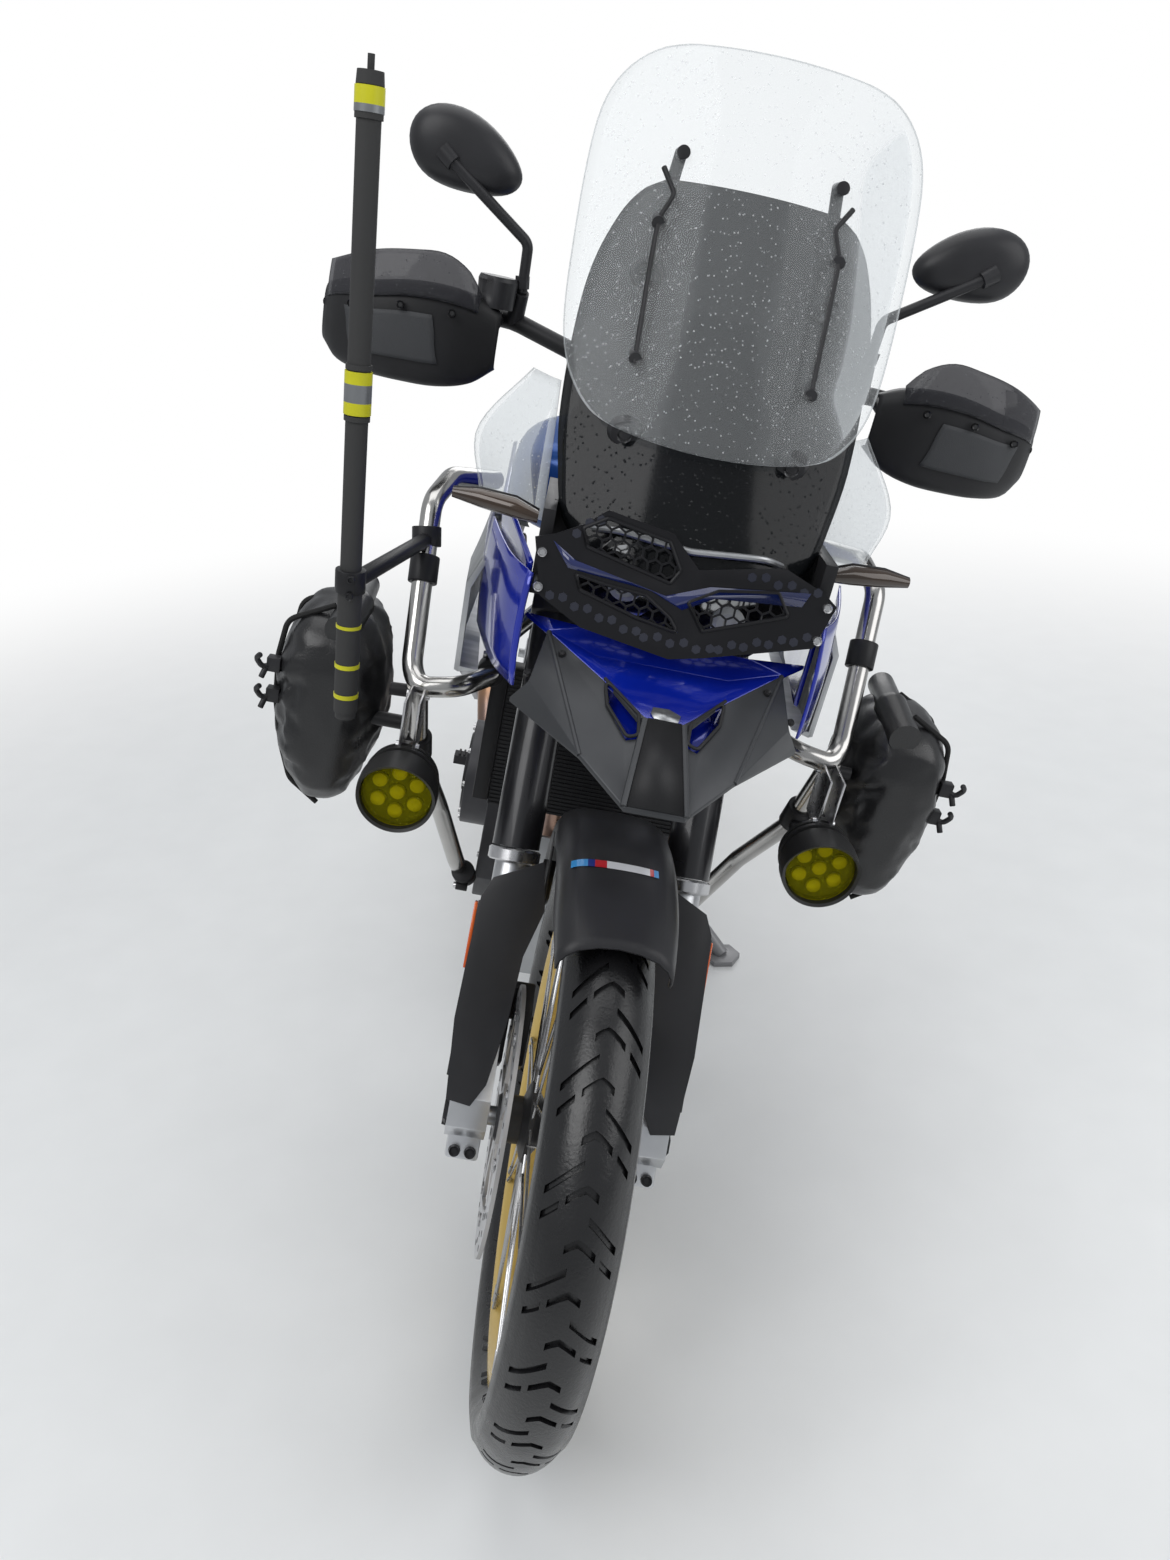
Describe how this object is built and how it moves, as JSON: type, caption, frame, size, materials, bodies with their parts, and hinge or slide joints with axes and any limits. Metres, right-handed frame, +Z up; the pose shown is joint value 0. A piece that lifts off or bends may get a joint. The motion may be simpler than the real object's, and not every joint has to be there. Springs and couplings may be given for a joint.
{
  "type": "adventure motorcycle",
  "caption": "Adventure motorcycle leaning on its side stand, with spoked wheels, turning fork and bar, crash bars, lamps, bags, screen and beak",
  "frame": {"origin": "middle of the machine's box, on the ground", "axes": "+Y towards the rear, +Z up, +X to the rider's left, as parked with the machine leaning to its left"},
  "size_m": [0.9784, 2.261, 1.4173],
  "materials": {
    "tyre_rubber": "satin",
    "gold_rim": "gloss",
    "wheel_silver": "brushed",
    "disc_steel": "brushed",
    "fork_gold": "gloss",
    "fork_silver": "polished",
    "black_plastic": "matte",
    "caliper_black": "satin",
    "black_metal": "satin",
    "grip_rubber": "matte",
    "smoke_glass": "polished",
    "clear_glass": "polished",
    "smoke_lens": "polished",
    "frame_black": "satin",
    "engine_grey": "satin",
    "header_bronze": "heat-tinted",
    "silencer_steel": "satin",
    "plain_aluminium": "satin",
    "chain_steel": "oiled",
    "tank_blue": "gloss",
    "panel_blue": "gloss",
    "panel_white": "gloss",
    "seat_vinyl": "matte",
    "lamp_lens": "polished",
    "guard_navy": "gloss",
    "polished_steel": "polished",
    "lamp_black": "satin",
    "bag_fabric": "matte",
    "pole_black": "matte",
    "stand_steel": "satin"
  },
  "bodies": {
    "root": {"main_frame": "frame_black", "rear_subframe": "frame_black", "engine_block": "engine_grey", "radiator": "black_metal", "exhaust_header": "header_bronze", "silencer": "silencer_steel", "skid_plate": "plain_aluminium", "swingarm": "plain_aluminium", "rear_shock": "black_metal", "drive_chain": "chain_steel", "rear_caliper": "caliper_black", "fuel_tank": "tank_blue", "side_shrouds": "black_plastic", "blue_side_panels": "panel_blue", "beak": "panel_white", "nose_panel": "panel_blue", "seat": "seat_vinyl", "tail_unit": "black_plastic", "headlight": "lamp_lens", "headlight_guard": "guard_navy", "screen_bracket": "black_metal", "windscreen_main": "smoke_glass", "windscreen_slider": "clear_glass", "instrument_panel": "black_plastic", "side_deflectors": "smoke_glass", "indicators": "smoke_lens", "crash_bars": "polished_steel", "aux_lamps": "lamp_black", "side_bags": "bag_fabric", "camera_pole": "pole_black", "rear_rack": "black_metal", "footpegs": "black_metal"},
    "steering": {"fork_outer_tubes": "fork_gold", "fork_sliders": "fork_silver", "front_fender": "black_plastic", "fork_guards": "black_plastic", "handlebar": "black_metal", "handguards": "black_plastic", "hand_deflectors": "smoke_glass", "grips_and_levers": "grip_rubber", "mirrors": "black_plastic", "front_calipers": "caliper_black"},
    "front_wheel": {"front_tyre": "tyre_rubber", "front_rim": "gold_rim", "front_hub_and_spokes": "wheel_silver", "front_discs": "disc_steel"},
    "rear_wheel": {"rear_tyre": "tyre_rubber", "rear_rim": "gold_rim", "rear_hub_and_spokes": "wheel_silver", "rear_brake_disc": "disc_steel", "rear_sprocket": "disc_steel"},
    "side_stand": {"side_stand": "stand_steel"}
  },
  "joints": [
    {"name": "steering", "type": "hinge", "parent": "root", "child": "steering", "pos_m": [-0.00349, -0.39046, 0.91187], "axis": [0.1989, 0.4695, 0.8603], "range_deg": [-38, 38]},
    {"name": "front_wheel_spin", "type": "hinge", "parent": "steering", "child": "front_wheel", "pos_m": [-0.13617, -0.7835, 0.33809], "axis": [0.9743, 0, -0.2253], "continuous": true},
    {"name": "rear_wheel_spin", "type": "hinge", "parent": "root", "child": "rear_wheel", "pos_m": [-0.14203, 0.8095, 0.31276], "axis": [0.9743, 0, -0.2253], "continuous": true},
    {"name": "side_stand_fold", "type": "hinge", "parent": "root", "child": "side_stand", "pos_m": [-0.01504, 0.1315, 0.19615], "axis": [0.6919, -0.1943, 0.6954], "range_deg": [0, 109]}
  ]
}
